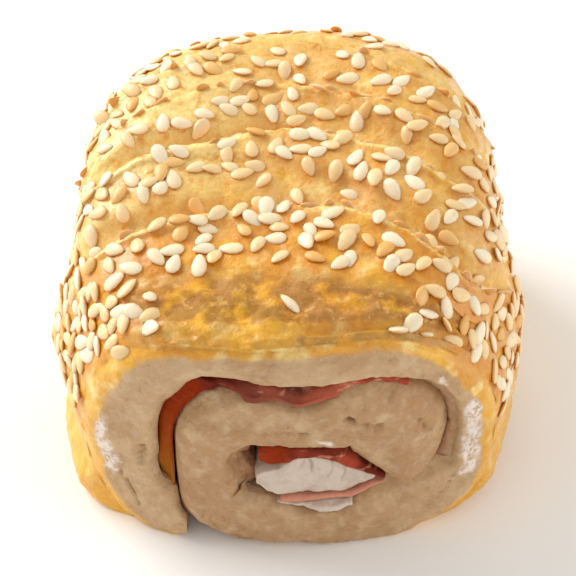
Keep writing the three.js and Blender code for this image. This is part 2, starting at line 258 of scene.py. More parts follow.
def lip_sway(x, y):
    """How far the slashes are moved along the roll: a slow bend and a torn edge."""
    flat = points_at(x, 0.15 * y, 0)
    torn = noise_at(flat, 3.2, 3, seed=2)
    held = between(y, 0.0, LENGTH, LIP_BEND["near"], LIP_BEND["far"])
    bend = LIP_BEND["slant"] * x + LIP_BEND["bow"] * x * x
    frayed = noise_at(flat, 1.1, 2, seed=15)
    return (0.7 * np.sin(0.21 * x + 0.9 * y) + 0.45 * torn + 0.16 * frayed - bend) * held


# ---- Modelling with Blender's own operators ----
def deselect_all():
    """Leaves object mode with nothing selected."""
    if bpy.context.object and bpy.context.object.mode != "OBJECT":
        bpy.ops.object.mode_set(mode="OBJECT")
    bpy.ops.object.select_all(action="DESELECT")


def activate(piece):
    """Makes piece the only selected object."""
    deselect_all()
    bpy.context.view_layer.objects.active = piece
    piece.select_set(True)


def add_slab(name, cells, layers):
    """A unit slab: a grid of cells[0] by cells[1] faces, extruded upwards in equal layers."""
    deselect_all()
    bpy.ops.mesh.primitive_grid_add(x_subdivisions=cells[0], y_subdivisions=cells[1], size=1)
    piece = bpy.context.object
    piece.name = name
    bpy.ops.object.mode_set(mode="EDIT")
    bpy.ops.mesh.select_all(action="SELECT")
    for _ in range(layers):
        bpy.ops.mesh.extrude_region_move(TRANSFORM_OT_translate={"value": (0, 0, 1 / layers)})
    bpy.ops.object.mode_set(mode="OBJECT")
    return piece


def points_of(piece):
    """The piece's vertices as an array."""
    flat = np.empty(len(piece.data.vertices) * 3)
    piece.data.vertices.foreach_get("co", flat)
    return flat.reshape(-1, 3)


def slab_places(piece):
    """Each vertex's shares of the slab's three directions, from 0 to 1."""
    return np.round(points_of(piece) + np.array([0.5, 0.5, 0.0]), 6).T


def roll_points(piece):
    """The piece's vertices in the roll's millimetres."""
    return (points_of(piece) - np.array(ROLL_ZERO)) / MM


def set_points(piece, points):
    """Moves the piece's vertices to points in the roll's millimetres."""
    piece.data.vertices.foreach_set("co", (points * MM + np.array(ROLL_ZERO)).ravel())
    piece.data.update()


def normals_of(piece):
    """The piece's vertex normals as an array."""
    flat = np.empty(len(piece.data.vertices) * 3)
    piece.data.vertex_normals.foreach_get("vector", flat)
    return flat.reshape(-1, 3)


def cut_up(piece, chosen, cuts):
    """Subdivides the faces for whose middles chosen, given their shares of the slab, is true."""
    activate(piece)
    bpy.ops.object.mode_set(mode="EDIT")
    bpy.ops.mesh.select_mode(type="FACE")
    bpy.ops.mesh.select_all(action="DESELECT")
    bpy.ops.object.mode_set(mode="OBJECT")
    middles = np.empty(len(piece.data.polygons) * 3)
    piece.data.polygons.foreach_get("center", middles)
    shares = middles.reshape(-1, 3).T + np.array([[0.5], [0.5], [0.0]])
    piece.data.polygons.foreach_set("select", chosen(*shares))
    bpy.ops.object.mode_set(mode="EDIT")
    bpy.ops.mesh.subdivide(number_cuts=cuts)
    bpy.ops.object.mode_set(mode="OBJECT")


def face_outwards(piece):
    """Turns every face outwards and smooths the shading."""
    activate(piece)
    bpy.ops.object.mode_set(mode="EDIT")
    bpy.ops.mesh.select_all(action="SELECT")
    bpy.ops.mesh.normals_make_consistent(inside=False)
    bpy.ops.object.mode_set(mode="OBJECT")
    bpy.ops.object.shade_smooth()


def keep_attributes(piece, **named):
    """Stores numbers, one a vertex or one for them all, for the piece's material to read."""
    for name, values in named.items():
        attribute = piece.data.attributes.new(name, "FLOAT", "POINT")
        whole = np.full(len(piece.data.vertices), values, dtype=np.float32)
        attribute.data.foreach_set("value", whole)


def attribute_of(piece, name):
    """The values of one of the piece's attributes, one a vertex."""
    values = np.empty(len(piece.data.vertices), dtype=np.float32)
    piece.data.attributes[name].data.foreach_get("value", values)
    return values


def finish_piece(piece, material, slot, *nodes):
    """Gives a piece its material, and says what it rides on and which imported parts it stands for;
    slot, what it is made of, is not used.
    """
    piece.data.materials.clear()
    piece.data.materials.append(material)
    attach(piece, "root")
    if nodes:
        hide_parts(*nodes)
    return piece


# ---- The dough ----
DOUGH_CELLS = (186, 54)
DOUGH_LAYERS = 8
# Shares of the slab, with the places round the dough and the distances along it that they become.
PLACE_STOPS = ((0.0, 0.04, 0.14, 0.36, 0.44, 0.96, 1.0), (0.0, 0.12, 0.8, 3.0, 3.55, 6.85, 7.0))
ROW_STOPS = ((0.0, 0.04, 0.4, 0.96, 1.0), (0.0, 1.2, 24.0, LENGTH - 1.2, LENGTH))
FINE_FROM = 0.43  # the share round the dough from which its outer side is cut up finely
FINE_CUTS = 2
OUTSIDE_FROM = 3.3  # the place from which the dough wraps the turns inside it
TURN_LENGTH = 14.0  # about how many millimetres a turn takes up, for relief that runs along it
ON_CRUST = 0.999  # vertices that are further across than this are on the outer side
# Where the turns swell shut behind the cut: from place, to place, by how many millimetres, and the
# depths at which that starts and is full.
SWOLLEN_SHUT = (
    (1.5, 2.9, 2.7, 0.4, 3.2),
    (2.0, 2.7, 1.0, -2.0, -1.0),
    (3.4, 4.98, 5.6, 0.2, 2.0),
    (6.34, 7.3, 3.2, -1.6, -0.4),
)
# Over how much of a turn that fades out, the gap that stays, the room that the inner turns have,
# and how far a place has swollen when it counts as shut.
SHUT = {"ease": 0.25, "gap": 0.04, "inner_room": 9.0, "full": 2.4}
# Pits and slits in the crumb of the near end: x and z at both ends, half width and depth.
CRUMB_PITS = (
    (7.1, 23.3, 7.6, 23.0, 0.5, 0.9),
    (9.2, 22.1, 11.0, 21.5, 0.55, 0.55),
    (15.6, 21.1, 15.8, 20.5, 0.2, 0.6),
    (16.4, 20.1, 17.0, 18.8, 0.3, 0.45),
    (11.3, 26.1, 12.0, 25.8, 0.4, 0.3),
    (1.3, 21.2, 2.1, 21.3, 0.28, 0.6),
    (-4.6, 23.0, -3.9, 23.1, 0.24, 0.35),
    (-2.6, 19.4, -1.6, 19.6, 0.26, 0.4),
    (-0.8, 21.9, 0.2, 21.6, 0.18, 0.3),
    (-17.9, 15.6, -18.3, 13.0, 0.55, 0.6),
    (-21.2, 10.1, -19.1, 4.7, 0.2, 0.5),
    (21.3, 9.5, 19.1, 5.7, 0.16, 0.4),
    (-11.2, 6.6, -8.5, 2.7, 0.16, 0.35),
    (-8.5, 2.7, -3.9, 0.8, 0.16, 0.35),
    (-11.0, 5.2, -10.8, 5.1, 0.2, 0.5),
    (-10.6, 6.7, -10.3, 6.4, 0.18, 0.4),
    (12.5, 15.5, 12.6, 15.1, 0.35, 0.25),
)
# Moist streaks on the cut, painted paler as highlight: x and z at both ends, and half width.
MOIST_HIGHLIGHT_STREAKS = (
    (-24.0, 18.6, -22.6, 10.4, 1.5),
    (22.6, 21.4, 23.1, 10.0, 1.4),
    (18.0, 27.3, 18.7, 26.1, 0.5),
    (3.4, 19.9, 5.2, 19.1, 0.4),
)
EDGE_ROUND = 0.8  # how far the rims of the cut stand back
EDGE_FROM = 0.66  # how far across the dough that starts
# The first strip's slope: where it tore, across the roll and along it, and where egg wash pooled.
TORN_ACROSS = (-21.0, 26.0, 5.0)
TORN_ALONG = (2.4, 13.5, 1.5, 5.0)
POOLED = {"across": (-18.0, 2.0, 4.0), "behind": 5.2, "half": 2.2}
SLASH_TORN = (0.16, 0.3)  # the middle and half width of a slash's torn part, as shares of a strip
LIP_FROM = 0.86  # the share of a strip from which it counts as its lip
LIP_CURL = 0.5
FLAKE = {"left": -19.0, "right": 1.3, "deep": 3.9, "rise": 0.9}
CREASE = {"left": 1.4, "right": 25.0, "along": 2.5, "half": 0.8, "depth": 0.7}
BROW = {"behind": 2.0, "half": 2.2, "rise": 0.4}  # the swelling behind the crease
# How wide the yellow skin is on the cut: places round the dough, and millimetres.
SKIN_WIDE = (
    (2.9, 3.3, 3.7, 4.5, 4.85, 5.4, 5.75, 6.6, 6.95),
    (0.2, 0.5, 1.7, 1.9, 0.8, 0.7, 2.0, 2.1, 0.9),
)


class Dough:
    """What is known of each vertex of the dough, worked out from its share of the slab."""

    def __init__(self, piece):
        a, b, c = slab_places(piece)
        self.p = np.interp(a, *PLACE_STOPS)
        self.y = np.interp(b, *ROW_STOPS)
        self.across = 2 * c - 1
        self.thick = thickness(self.p)
        self.near_face = b <= 0
        self.far_face = b >= 1
        self.on_face = self.near_face | self.far_face
        self.outside = np.where(self.p > OUTSIDE_FROM, smooth(self.across), 0.0)

    def closing(self):
        """How far the dough swells inwards behind the cut ends, to close the gaps."""
        depth = np.minimum(self.y, LENGTH - self.y)
        places = np.linspace(OUTSIDE_FROM, TURN_COUNT, 150)
        room = np.interp(self.p, places, gap_below(places))
        room += np.where(self.p < OUTSIDE_FROM, SHUT["inner_room"], 0.0)
        line = points_at(self.p * TURN_LENGTH, self.y, 0)
        uneven = 1.0 + 0.6 * noise_at(line, 1.6, 4, seed=14)
        total = np.zeros_like(depth)
        for low, high, by, starts, full in SWOLLEN_SHUT:
            there = between(self.p, low, high, SHUT["ease"]) * smooth(-self.across)
            risen = smooth((depth - starts) / (full - starts) * uneven)
            total += np.minimum(by, room - SHUT["gap"]) * there * risen
        return total

    def rolled(self):
        """The vertices, rolled up and slashed, without the fine relief."""
        closing = self.closing()
        self.shut = clamp01(closing / SHUT["full"])
        x, z, nx, nz = section_point(self.p, self.across, -closing)
        self.section = np.stack([x, z], axis=-1)
        low, high = SLASH_REACH
        self.roof = smooth((z / ROOF_TOP - low) / (high - low)) * self.outside
        lift = self.roof * crest(self.y)
        points = place(x + nx * lift, z + nz * lift, self.y + self.roof * lip_sway(x, self.y))
        near = np.maximum(0.0, 1.0 - self.y / PUFF_DEPTH)
        far = np.maximum(0.0, 1.0 - (LENGTH - self.y) / PUFF_DEPTH)
        puff = FACE_PUFF * (1.0 - self.across**2)
        rim = smooth((np.abs(self.across) - EDGE_FROM) / (1.0 - EDGE_FROM)) ** 2
        points[:, 1] += (EDGE_ROUND * rim - puff) * (near - far)
        start, end, self.strip = strip_of(self.y)
        self.climb = clamp01((self.y - start) / (end - start))
        return points

    def crust_relief(self, points):
        """How far the fine relief stands out of the crust, in millimetres."""
        x, y = points[:, 0], self.y
        front = self.roof * (self.strip == 0)
        middle_part = between(x, *TORN_ACROSS)
        slash = self.roof * (self.strip > 0) * hump(self.climb, *SLASH_TORN)
        self.torn_front = front * middle_part * between(y, *TORN_ALONG)
        self.torn = np.maximum(slash, self.torn_front)
        self.lip = self.roof * smooth((self.climb - LIP_FROM) / (1.0 - LIP_FROM))
        ragged = noise_at(points, 1.5, 3, seed=6)
        self.flake = between(x, FLAKE["left"], FLAKE["right"] + 0.3 * ragged, 5.0, 0.4) * front
        self.flake *= smooth((FLAKE["deep"] + 0.9 * ragged - y) / 0.9)
        wander = 0.5 * noise_at(points_at(x, 0, 0), 7.0, 2, seed=7)
        creased = between(x, CREASE["left"], CREASE["right"], 1.0, 4.0) * front
        crease_at = CREASE["along"] + wander
        self.glaze = front * smooth((crease_at - y) / 0.8) * middle_part * (1.0 - self.flake)
        pooled = hump(y, POOLED["behind"] + wander, POOLED["half"]) * between(x, *POOLED["across"])
        self.glaze = np.maximum(self.glaze, 0.9 * front * pooled)

        wrinkled = 0.4 - np.abs(noise_at(points, 4.2, 3, seed=16))
        stood = 0.45 * noise_at(points, 9.0, 2, seed=5) + 0.05 * noise_at(points, 0.9, 2, seed=4)
        stood += noise_at(points, 2.4, 4, seed=3) * (0.16 + 0.3 * self.torn)
        stood += 0.24 * wrinkled * (1.0 - self.glaze)
        stood += 0.3 * noise_at(points, 1.3, 4, seed=17) * self.torn
        stood += LIP_CURL * self.lip + FLAKE["rise"] * self.flake * (0.75 + 0.5 * ragged)
        stood -= CREASE["depth"] * creased * hump(y, crease_at, CREASE["half"])
        return stood + BROW["rise"] * creased * hump(y, crease_at + BROW["behind"], BROW["half"])

    def crumb_relief(self):
        """How far the cut crumb stands back from the rolled shape, in millimetres."""
        x, z = self.section.T
        flat = points_at(x, 0, z)
        hollow = 0.34 * noise_at(flat, 3.4, 4, seed=8) + 0.13 * noise_at(flat, 0.8, 3, seed=9)
        ragged = 0.45 * noise_at(flat, 0.7, 2, seed=10)
        for *ends, half_width, depth in CRUMB_PITS:
            away = from_segment(x, z, *ends) / half_width
            hollow += depth * smooth(1.3 - away + ragged * (away < 2.5))
        return hollow

    def moist(self):
        """1 along the moist streaks on the cut, which are glossier and painted paler as highlight.
        """
        x, z = self.section.T
        speckled = 0.7 * noise_at(points_at(x, 0, 0.6 * z), 0.9, 4, seed=13)
        shares = [
            smooth(1.2 - from_segment(x, z, *ends) / half_width + speckled)
            for *ends, half_width in MOIST_HIGHLIGHT_STREAKS
        ]
        return np.maximum.reduce(shares)

    def skin(self, points):
        """1 on the crust and 0 on the crumb, with an uneven edge just inside the rim of the cut."""
        first, *_, last = SKIN_WIDE[0]
        from_edge = (1.0 - self.across) * self.thick / 2
        wide = np.interp(self.p, *SKIN_WIDE) * (1.0 + 0.3 * noise_at(points, 3.0, 3, seed=11))
        return smooth((wide + 0.2 - from_edge) / 0.6) * between(self.p, first, last, 0.1, 0.05)


def from_segment(x, z, x0, z0, x1, z1):
    """How far the points x, z are from the segment between x0, z0 and x1, z1."""
    length = (x1 - x0) ** 2 + (z1 - z0) ** 2
    t = clamp01(((x - x0) * (x1 - x0) + (z - z0) * (z1 - z0)) / length)
    return np.hypot(x - mix(x0, x1, t), z - mix(z0, z1, t))


def to_be_fine(a, b, c):
    """The outer side of the outer turns, and the near cut end."""
    return ((c > ON_CRUST) & (a > FINE_FROM)) | (b < 0.001)


def build_dough():
    """The rolled-up dough, with its crust, its slashes and its two cut ends."""
    piece = add_slab("dough_roll", DOUGH_CELLS, DOUGH_LAYERS)
    cut_up(piece, to_be_fine, FINE_CUTS)
    dough = Dough(piece)
    rolled = dough.rolled()
    set_points(piece, rolled)
    face_outwards(piece)
    relief = dough.crust_relief(rolled) * (dough.across >= 1)
    relief *= smooth((dough.p - 3.0) / 0.3) * smooth(rolled[:, 2] / 1.5)
    hollow = dough.crumb_relief()
    points = rolled + normals_of(piece) * relief[:, None]
    points[:, 1] += hollow * dough.near_face - hollow * dough.far_face
    points[:, 2] = np.maximum(points[:, 2], 0.0)
    set_points(piece, points)
    face_outwards(piece)
    mottled = 0.5 + 0.5 * noise_at(points, 7.0, 2, seed=12)
    # painted light: the crust is made paler further back and to the left, where the window light
    # falls
    to_left = 0.35 + 0.65 * smooth((2.0 - rolled[:, 0]) / 16)
    keep_attributes(
        piece,
        skin=dough.skin(rolled),
        bake=dough.roof * smooth((dough.climb - 0.5) / 0.35) * clamp01(0.3 + mottled),
        pale=clamp01(dough.torn - dough.torn_front),
        torn=clamp01(dough.torn_front),
        glaze=np.where(dough.on_face, 0.0, clamp01(dough.glaze + 0.5 * dough.flake)),
        lip=dough.lip,
        wan=smooth((dough.y - 14) / 22) * to_left,
        # how far the dough swelled shut behind the cut, which the painted shade in the crumb
        # follows
        shut=np.where(dough.on_face, 0.0, dough.shut),
        moist=dough.moist(),
        hollow=np.where(dough.on_face, hollow, 0.0),
        round=dough.p,
        across=dough.across,
        along=dough.y,
        climb=dough.climb,
        roof=dough.roof,
        seeded=0.0,
    )
    return piece


# ---- Sesame seeds ----
SEED_RINGS = (8, 6)
SEED_SPACING = 1.75  # mm between the middles of two seeds, at the least
SEED_TRIES = 6500
SEED_PLACES = (3.75, 6.62)  # the places round the dough between which seeds lie
# x and y of single seeds on the first strip's bare slope
LONE_SEEDS = ((0.2, 6.1), (-19.5, 4.4), (12.8, 3.6), (6.2, 12.2), (-10.5, 12.4), (15.6, 8.2))
WASH_AND_SHADE_REACH = 3.0  # how far round a seed the egg wash and the painted contact shade reach
WASH_AND_SHADE_RUN = Vector((0.0, -0.9, -0.5))  # and how far both are moved downhill


def seed_shape(settings):
    """One sesame seed lying flat: a low drop with a blunt and a pointed end."""
    deselect_all()
    bpy.ops.mesh.primitive_uv_sphere_add(
        segments=SEED_RINGS[0], ring_count=SEED_RINGS[1], radius=0.5, rotation=(0, math.pi / 2, 0)
    )
    seed = bpy.context.object
    bpy.ops.object.transform_apply(rotation=True)
    x, y, z = points_of(seed).T
    narrow = 1.0 - 0.36 * smooth(x + 0.5) ** 1.8
    plump = 0.5 + 0.25 * np.sqrt(np.maximum(0.0, 1.0 - 4.0 * x * x))
    lengthened = np.sign(x) * np.minimum(0.5, np.abs(x)) ** 0.94
    # The factors at the end give back the size that narrow and plump take away at the middle.
    shaped = points_at(
        lengthened * settings.seed_length,
        y * narrow * settings.seed_width * 1.12,
        z * plump * settings.seed_thickness * 1.25,
    )
    seed.data.vertices.foreach_set("co", shaped.ravel())
    seed.data.update()
    bpy.ops.object.shade_smooth()
    return seed


def crowd(x, y, climb, roof):
    """How thickly the seeds were strewn here, from 0 for none to 1 for a heap."""
    patches = noise.noise(Vector((x / 8, y / 8, 4.0))) * 0.5 + 0.5
    side = smooth((abs(x) - 13) / 6)
    if y < SLASHES[0]:
        on_ridge = smooth((y - 12.5) / 3.0) * mix(1.0, 0.5, smooth((x - 2) / 8))
        return max(side, on_ridge) * mix(0.8, 1, patches)
    on_slope = mix(1.0, 0.12 + 0.88 * smooth((climb - 0.3) / 0.3), roof)
    sparse = mix(1.0, 0.35, smooth((y - 40) / 20) * smooth((x + 14) / 16))
    return on_slope * sparse * clamp01(1.1 * patches)


def strew(dough, draw):
    """Where seeds lie on the dough: each one's point, and the crust's normal there."""
    names = ("along", "climb", "roof", "round", "across")
    along, climb, roof, place_round, across = (attribute_of(dough, name) for name in names)
    crust = [
        face
        for face in dough.data.polygons
        if across[face.vertices[0]] > ON_CRUST
        and SEED_PLACES[0] < place_round[face.vertices[0]] < SEED_PLACES[1]
    ]
    kept = []
    for face in draw.choices(crust, weights=[face.area for face in crust], k=SEED_TRIES):
        corner = face.vertices[0]
        point = (face.center - ROLL_ZERO) / MM
        rim = between(along[corner], 1.0, LENGTH - 1.0, 1.5)
        low = smooth((point.z - 12.0) / 5.0)
        dense = crowd(point.x, along[corner], climb[corner], roof[corner]) * rim * low
        if draw.random() > dense:
            continue
        if all((point - other).length > SEED_SPACING for other, _ in kept):
            kept.append((point, face.normal.copy()))
    return kept


def lay_seed(pattern, point, normal, settings, draw):
    """A seed that lies on the crust at point, with its size, its turn and its tilt drawn."""
    seed = pattern.copy()
    seed.data = pattern.data.copy()
    bpy.context.collection.objects.link(seed)
    size = draw.uniform(0.86, 1.12)
    spin = draw.uniform(-math.pi, math.pi)
    sideways, lengthways = draw.gauss(0, 0.13), draw.gauss(0, 0.08)
    tilt = Matrix.Rotation(sideways, 4, "X") @ Matrix.Rotation(lengthways, 4, "Y")
    turn = Vector((0, 0, 1)).rotation_difference(normal).to_matrix().to_4x4()
    rise = settings.seed_thickness * (0.12 + draw.uniform(0.0, 0.22))
    where = point * MM + ROLL_ZERO + normal * rise
    move = Matrix.Translation(where) @ turn @ Matrix.Rotation(spin, 4, "Z") @ tilt
    seed.data.transform(move @ Matrix.Scale(size, 4))
    upper = points_of(pattern)[:, 2] / settings.seed_thickness
    keep_attributes(seed, tint=draw.random(), upper=upper)
    return seed


def join(name, seeds):
    """Joins the seeds into one piece."""
    deselect_all()
    for seed in seeds:
        seed.select_set(True)
    bpy.context.view_layer.objects.active = seeds[0]
    bpy.ops.object.join()
    piece = bpy.context.object
    piece.name = name
    return piece


def build_seeds(settings, dough):
    """Several hundred sesame seeds, strewn over the crust, in one mesh for each kind."""
    draw = random.Random(settings.draw)
    pattern = seed_shape(settings)
    tree = BVHTree.FromObject(dough, bpy.context.evaluated_depsgraph_get())
    laid = strew(dough, draw)
    down = Vector((0, 0, -1))
    for x, y in LONE_SEEDS:
        above = Vector((x * MM, y * MM, 0.1)) + ROLL_ZERO
        hit, normal, _, _ = tree.ray_cast(above, down)
        laid.append(((hit - ROLL_ZERO) / MM, normal))
    kinds = {"sesame_seeds": [], "toasted_sesame_seeds": []}
    for point, normal in laid:
        kind = "toasted_sesame_seeds" if draw.random() < settings.toasted else "sesame_seeds"
        kinds[kind].append(lay_seed(pattern, point, normal, settings, draw))
    pieces = [join(name, seeds) for name, seeds in kinds.items()]
    deselect_all()
    bpy.data.objects.remove(pattern)
    shade_round_seeds(dough, [point for point, _ in laid])
    return pieces


def shade_round_seeds(dough, points):
    """Marks the crust close to each seed, more on the downhill side, for egg wash that gathered
    there and painted contact shade.
    """
    near = KDTree(len(points))
    for index, point in enumerate(points):
        near.insert(point + WASH_AND_SHADE_RUN, index)
    near.balance()
    crust = attribute_of(dough, "across") > ON_CRUST
    marks = np.zeros(len(crust), dtype=np.float32)
    places = roll_points(dough)
    for index in np.flatnonzero(crust):
        _, _, away = near.find(places[index])
        marks[index] = max(0.0, 1.0 - away / WASH_AND_SHADE_REACH)
    dough.data.attributes["seeded"].data.foreach_set("value", marks)


# ---- The filling ----
# The slice between the turns: the places round the dough that it runs between, where its torn
# fringe and its curtain start, and where it folds.
HAM_PLACES = {"start": 4.74, "fringe": 5.0, "curtain": 5.42, "fold": 5.43, "end": 6.5}
# Its thickness and the gap that it keeps. At the cut ends it lies on the turn below, and it climbs
# back to the roof over climb millimetres.
HAM_BETWEEN = {"thick": 1.0, "clear": 0.25, "recess": 0.4, "climb": 3.6}
# The slice's torn edge hangs over the turn below it, less so at the place called short.
DRAPE = {"out": 0.75, "down": 0.9, "short": 5.19}
# The outlines of the fillings on the cut, as x and height: the upper edge and the lower one.
HAM_OVER = (
    (
        (-3.5, 16.2), (-2.4, 17.3), (1.8, 17.4), (5.0, 17.2),
        (7.0, 16.1), (9.0, 14.3), (10.5, 13.0), (12.0, 11.5),
    ),
    (
        (-3.5, 14.4), (-2.2, 13.7), (-0.7, 14.3), (0.6, 15.9),
        (3.0, 16.0), (5.5, 15.3), (8.6, 13.2), (12.0, 10.9),
    ),
)
HAM_UNDER = (
    ((-1.0, 8.75), (0.0, 8.95), (4.0, 9.0), (8.0, 9.2), (10.6, 10.3), (12.0, 10.5)),
    ((-1.0, 8.55), (0.0, 8.3), (4.0, 8.3), (8.0, 8.55), (10.6, 9.75), (12.0, 10.2)),
)
CHEESE = (
    (
        (-3.9, 12.0), (-3.4, 12.9), (-2.0, 13.3), (-0.5, 14.0), (0.7, 15.5),
        (3.0, 15.7), (5.5, 15.0), (8.6, 12.9), (10.8, 11.4),
    ),
    (
        (-3.9, 11.3), (-3.3, 10.1), (-2.0, 9.5), (0.0, 9.3),
        (4.0, 9.35), (7.6, 9.5), (9.7, 10.3), (10.8, 11.1),
    ),
)
SMEAR = (
    ((-1.4, 8.4), (0.8, 8.0), (3.8, 8.0), (6.6, 8.2), (8.0, 8.4)),
    ((-1.4, 8.3), (0.8, 7.7), (3.8, 7.3), (6.6, 7.6), (8.0, 8.3)),
)
HAM_RECESS = 0.4
FOLD_RECESS = {"more": 0.9, "right": 0.3, "ease": 1.2}  # the upper slice's folded left part
CHEESE_RECESS = 0.75
SPILL = {"from": 0.5, "over": 4.0, "out": 0.9, "down": 0.3}  # the smear hangs out at its right
# Cracks in the cheese's cut end: x halfway up, lean, the height from which they rise, and depth.
CHEESE_CRACKS = (
    (1.2, 0.3, 14.0, 0.25),
    (3.1, -0.15, 12.5, 0.4),
    (5.2, 0.25, 11.5, 0.3),
    (7.0, 0.2, 11.0, 0.25),
)
CRACK_HALF = 0.28
CRACK_MIDDLE = 13.0


def gap_below(p):
    """How far the dough's inner side at places p is from the turn that it is wrapped round."""
    x, z, _, _ = section_point(p, np.full_like(p, -1.0))
    inner = np.linspace(0.0, 3.1, 500)
    inner_x, inner_z, _, _ = section_point(inner, np.ones_like(inner))
    return np.hypot(x[:, None] - inner_x, z[:, None] - inner_z).min(axis=1)


def rows_along(b, recess):
    """Distances along the roll for shares b: close together at the cut ends, and recess inside."""
    shares = (0.0, 0.3, 0.45, 0.6, 0.8, 1.0)
    y = np.interp(b, shares, (0.0, 4.0, 12.0, LENGTH - 12.0, LENGTH - 3.0, LENGTH))
    near, far = smooth(1.0 - y / 6.0), smooth(1.0 - (LENGTH - y) / 6.0)
    return y + recess * (near - far)


def rounded(t, share):
    """1 along a slab, falling in a quarter circle over share of it at both ends."""
    return arch(np.minimum(t, 1.0 - t) / share)


def build_ham_between_turns():
    """The slice that lines the roof and closes the gap at the left like a curtain."""
    at, ham = HAM_PLACES, HAM_BETWEEN
    piece = add_slab("ham_slice_between_turns", (190, 70), 3)
    a, b, c = slab_places(piece)
    p = mix(at["start"], at["end"], a)
    curtain = smooth((p - at["curtain"]) / 0.15)
    fringe = between(p, at["fringe"], at["curtain"], 0.08)
    line = points_at(p * TURN_LENGTH, 0, 0)
    ragged = noise_at(line, 1.3, 3, seed=21) * (1.0 - 0.6 * curtain)
    recess = mix(ham["recess"] - DRAPE["out"] * fringe, 1.3, curtain) + 0.3 * ragged
    recess += 0.7 * hump(p, at["fold"], 0.13)
    y = rows_along(b, recess)
    depth = np.minimum(y, LENGTH - y)
    gap = gap_below(p)
    lying = 1.0 - smooth((depth - mix(0.7, 2.4, curtain)) / mix(ham["climb"], 2.0, curtain))
    thick = mix(np.minimum(ham["thick"], 0.5 * gap), gap - 2 * ham["clear"], curtain * lying)
    room = np.maximum(0.0, gap - thick - 2 * ham["clear"])
    wave = (0.5 - 0.36 * np.sin(8 * p + 14 * y / LENGTH)) * smooth((depth - 5.0) / 6)
    across_gap = points_at(p * TURN_LENGTH, y, 0)
    crimp = 0.22 * noise_at(across_gap, 2.6, 3, seed=22) * (1.0 - lying) * clamp01(room)
    end_edge = np.maximum(curtain, arch((depth - ham["recess"] + 0.5) / 0.9))
    edge = 0.3 + 0.7 * rounded(a, 0.06) * end_edge
    inwards = ham["clear"] + thick / 2 + room * mix(wave, 1.0, lying) + crimp
    inwards += (c - 0.5) * thick * edge
    hem = 0.1 + 0.9 * smooth((np.abs(p - DRAPE["short"]) - 0.03) / 0.1)
    inwards += fringe * hem * DRAPE["down"] * smooth(-y / 0.35) * (0.6 + 0.8 * c)
    x, z, _, _ = section_point(p, np.full_like(p, -1.0), -inwards)
    folds = 0.45 * np.sin(9 * p + 2.5 * c) + 0.5 * (0.5 - c)
    set_points(piece, place(x, z, y + curtain * lying * folds * smooth(1.0 - depth / 6)))
    face_outwards(piece)
    # painted shade: the slice is darker deeper behind the cut and in its fold
    shaded = smooth((depth - 1.2) / 2.0) * (1.0 - 0.6 * curtain)
    keep_attributes(
        piece,
        browned=curtain,
        amber=smooth((p - 5.7) / 0.7),
        deep=np.maximum(shaded, hump(p, at["fold"], 0.16)),
        fatty=0.15 * fringe,
    )
    return piece


def height_of(outline, x):
    """The height at x of an outline, with its corners rounded off."""
    at, heights = zip(*outline)
    return sum(np.interp(x + shift, at, heights) for shift in (-0.5, -0.25, 0.0, 0.25, 0.5)) / 5


def filling_slab(name, cells, layers, outlines, recess, relief, hang=0.0):
    """A slab of filling between two outlines, with recess and relief worked out at each point."""
    top, low = outlines
    piece = add_slab(name, cells, layers)
    t, b, c = slab_places(piece)
    x = mix(top[0][0], top[-1][0], t)
    bulge = 0.2 * np.sin(math.pi * c) + 0.1 * np.sin(11 * t)
    y = rows_along(b, recess(x) - bulge)
    z = mix(height_of(low, x), height_of(top, x), c)
    z -= hang * smooth(-y / 0.6) * (1.0 - c)
    set_points(piece, place(x, z, y))
    face_outwards(piece)
    normals, places = normals_of(piece), roll_points(piece)
    set_points(piece, places + normals * relief(places)[:, None])
    face_outwards(piece)
    return piece


def lumpy(by, size, seed):
    """A relief of lumps about size millimetres wide, which stand out by up to about by."""
    return lambda places: by * noise_at(places, size, 3, seed=seed)


def build_ham_over_cheese():
    """The slice between the dough and the top of the cheese, folded down at its left."""

    def recess(x):
        folded = smooth((FOLD_RECESS["right"] - x) / FOLD_RECESS["ease"])
        return HAM_RECESS + FOLD_RECESS["more"] * folded

    relief = lumpy(0.16, 1.6, 23)
    piece = filling_slab("ham_slice_over_cheese", (110, 50), 5, HAM_OVER, recess, relief)
    browned = 0.9 * smooth((0.4 - roll_points(piece)[:, 0]) / 1.0)
    keep_attributes(piece, browned=browned, amber=0.0, deep=0.0, fatty=0.0)
    return piece


def build_ham_under_cheese():
    """The slice that the cheese lies on."""
    relief = lumpy(0.1, 1.8, 28)
    piece = filling_slab(
        "ham_slice_under_cheese", (100, 50), 3, HAM_UNDER, lambda x: HAM_RECESS, relief
    )
    keep_attributes(piece, browned=0.0, amber=0.0, deep=0.0, fatty=0.9)
    return piece


def build_cheese():
    """The block of cream cheese, crumbled and cracked where it was cut."""

    def relief(places):
        x, y, z = places.T
        cracks = np.zeros_like(x)
        for at, lean, low, depth in CHEESE_CRACKS:
            wander = 0.3 * noise_at(points_at(at, 0, z), 1.2, 3, seed=24)
            across = hump(x, at + lean * (z - CRACK_MIDDLE) + wander, CRACK_HALF)
            cracks += depth * across * smooth((z - low) / 1.2)
        crumbly = 0.24 * noise_at(places, 2.2, 3, seed=25)
        crumbly += 0.06 * noise_at(places, 0.7, 2, seed=26)
        return crumbly - cracks * smooth((4.0 - y) / 2)

    return filling_slab("cheese_block", (110, 44), 30, CHEESE, lambda x: CHEESE_RECESS, relief)


def build_smear():
    """The cream cheese squeezed out under the ham, which hangs over the floor at its right."""

    def recess(x):
        return HAM_RECESS - SPILL["out"] * smooth((x - SPILL["from"]) / SPILL["over"])

    relief = lumpy(0.18, 1.1, 27)
    return filling_slab("cheese_smear", (90, 50), 6, SMEAR, recess, relief, SPILL["down"])


